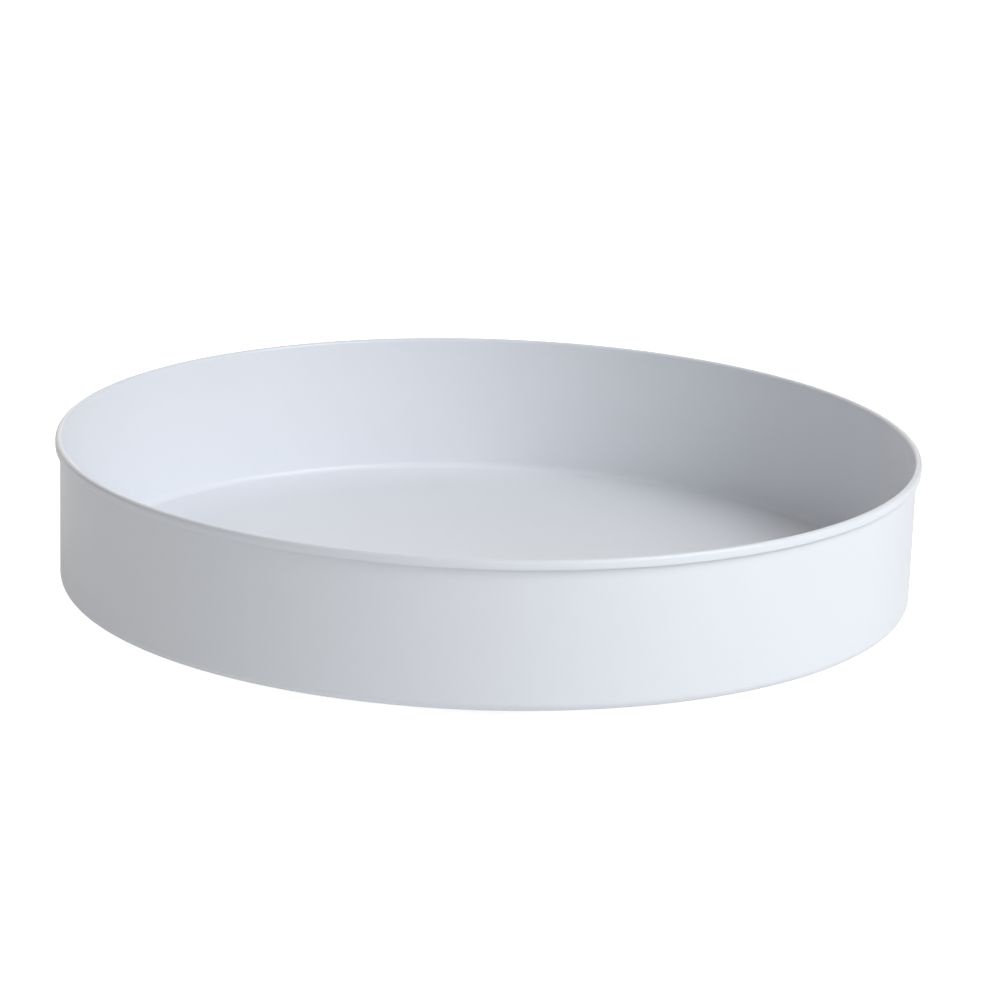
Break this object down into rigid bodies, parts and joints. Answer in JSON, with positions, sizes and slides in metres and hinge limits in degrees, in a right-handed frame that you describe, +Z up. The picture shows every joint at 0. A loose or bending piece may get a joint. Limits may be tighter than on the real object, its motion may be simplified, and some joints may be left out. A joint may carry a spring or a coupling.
{
  "type": "lazy susan turntable",
  "caption": "Round shallow tray with a hemmed rim, turning freely on a low ball-bearing swivel foot with rubber feet.",
  "frame": {"origin": "on the table, on the axis the tray turns about, under the rubber feet", "axes": "+Z up along the turning axis; +X right and +Y back, with the tray round about Z"},
  "size_m": [0.225, 0.225, 0.06],
  "materials": {
    "powder_coat": "satin white powder coat with a faint cool tint",
    "powder_coat_under": "satin white powder coat",
    "zinc_plate": "bright zinc plating",
    "bright_steel": "plain bright steel, formed cold",
    "ball_steel": "polished bearing steel",
    "nylon": "natural nylon",
    "rubber": "matt black rubber"
  },
  "bodies": {
    "base": {"base_shell": "powder_coat_under", "lower_race": "zinc_plate", "pivot_rivet": "bright_steel", "pivot_spacer": "nylon", "pivot_washer": "zinc_plate", "base_rivet_1": "bright_steel", "base_rivet_2": "bright_steel", "base_rivet_3": "bright_steel", "base_rivet_4": "bright_steel", "foot_1": "rubber", "foot_2": "rubber", "foot_3": "rubber", "foot_4": "rubber"},
    "tray": {"tray": "powder_coat", "mounting_plate": "powder_coat_under", "upper_race": "zinc_plate", "tray_screw_1": "zinc_plate", "tray_screw_2": "zinc_plate", "tray_screw_3": "zinc_plate", "tray_screw_4": "zinc_plate", "weld_nut_1": "zinc_plate", "weld_nut_2": "zinc_plate", "weld_nut_3": "zinc_plate", "weld_nut_4": "zinc_plate"},
    "cage": {"ball_cage": "nylon"},
    "ball_01": {"ball_01": "ball_steel"},
    "ball_02": {"ball_02": "ball_steel"},
    "ball_03": {"ball_03": "ball_steel"},
    "ball_04": {"ball_04": "ball_steel"},
    "ball_05": {"ball_05": "ball_steel"},
    "ball_06": {"ball_06": "ball_steel"},
    "ball_07": {"ball_07": "ball_steel"},
    "ball_08": {"ball_08": "ball_steel"},
    "ball_09": {"ball_09": "ball_steel"},
    "ball_10": {"ball_10": "ball_steel"},
    "ball_11": {"ball_11": "ball_steel"},
    "ball_12": {"ball_12": "ball_steel"}
  },
  "joints": [
    {"name": "tray_turn", "type": "hinge", "parent": "base", "child": "tray", "pos_m": [0, 0, 0.0216], "axis": [0, 0, 1], "continuous": true},
    {"name": "cage_turn", "type": "hinge", "parent": "base", "child": "cage", "pos_m": [0, 0, 0.0134], "axis": [0, 0, 1], "continuous": true},
    {"name": "ball_01_roll", "type": "hinge", "parent": "cage", "child": "ball_01", "pos_m": [0.025, 0, 0.0134], "axis": [1, 0, 0], "continuous": true},
    {"name": "ball_02_roll", "type": "hinge", "parent": "cage", "child": "ball_02", "pos_m": [0.02165, 0.0125, 0.0134], "axis": [0.866, 0.5, 0], "continuous": true},
    {"name": "ball_03_roll", "type": "hinge", "parent": "cage", "child": "ball_03", "pos_m": [0.0125, 0.02165, 0.0134], "axis": [0.5, 0.866, 0], "continuous": true},
    {"name": "ball_04_roll", "type": "hinge", "parent": "cage", "child": "ball_04", "pos_m": [0, 0.025, 0.0134], "axis": [0, 1, 0], "continuous": true},
    {"name": "ball_05_roll", "type": "hinge", "parent": "cage", "child": "ball_05", "pos_m": [-0.0125, 0.02165, 0.0134], "axis": [-0.5, 0.866, 0], "continuous": true},
    {"name": "ball_06_roll", "type": "hinge", "parent": "cage", "child": "ball_06", "pos_m": [-0.02165, 0.0125, 0.0134], "axis": [-0.866, 0.5, 0], "continuous": true},
    {"name": "ball_07_roll", "type": "hinge", "parent": "cage", "child": "ball_07", "pos_m": [-0.025, 0, 0.0134], "axis": [-1, 0, 0], "continuous": true},
    {"name": "ball_08_roll", "type": "hinge", "parent": "cage", "child": "ball_08", "pos_m": [-0.02165, -0.0125, 0.0134], "axis": [-0.866, -0.5, 0], "continuous": true},
    {"name": "ball_09_roll", "type": "hinge", "parent": "cage", "child": "ball_09", "pos_m": [-0.0125, -0.02165, 0.0134], "axis": [-0.5, -0.866, 0], "continuous": true},
    {"name": "ball_10_roll", "type": "hinge", "parent": "cage", "child": "ball_10", "pos_m": [0, -0.025, 0.0134], "axis": [0, -1, 0], "continuous": true},
    {"name": "ball_11_roll", "type": "hinge", "parent": "cage", "child": "ball_11", "pos_m": [0.0125, -0.02165, 0.0134], "axis": [0.5, -0.866, 0], "continuous": true},
    {"name": "ball_12_roll", "type": "hinge", "parent": "cage", "child": "ball_12", "pos_m": [0.02165, -0.0125, 0.0134], "axis": [0.866, -0.5, 0], "continuous": true}
  ],
  "couplings": [
    {"joint": "cage_turn", "follows": "tray_turn", "ratio": 0.5},
    {"joint": "ball_01_roll", "follows": "tray_turn", "ratio": -5},
    {"joint": "ball_02_roll", "follows": "tray_turn", "ratio": -5},
    {"joint": "ball_03_roll", "follows": "tray_turn", "ratio": -5},
    {"joint": "ball_04_roll", "follows": "tray_turn", "ratio": -5},
    {"joint": "ball_05_roll", "follows": "tray_turn", "ratio": -5},
    {"joint": "ball_06_roll", "follows": "tray_turn", "ratio": -5},
    {"joint": "ball_07_roll", "follows": "tray_turn", "ratio": -5},
    {"joint": "ball_08_roll", "follows": "tray_turn", "ratio": -5},
    {"joint": "ball_09_roll", "follows": "tray_turn", "ratio": -5},
    {"joint": "ball_10_roll", "follows": "tray_turn", "ratio": -5},
    {"joint": "ball_11_roll", "follows": "tray_turn", "ratio": -5},
    {"joint": "ball_12_roll", "follows": "tray_turn", "ratio": -5}
  ]
}
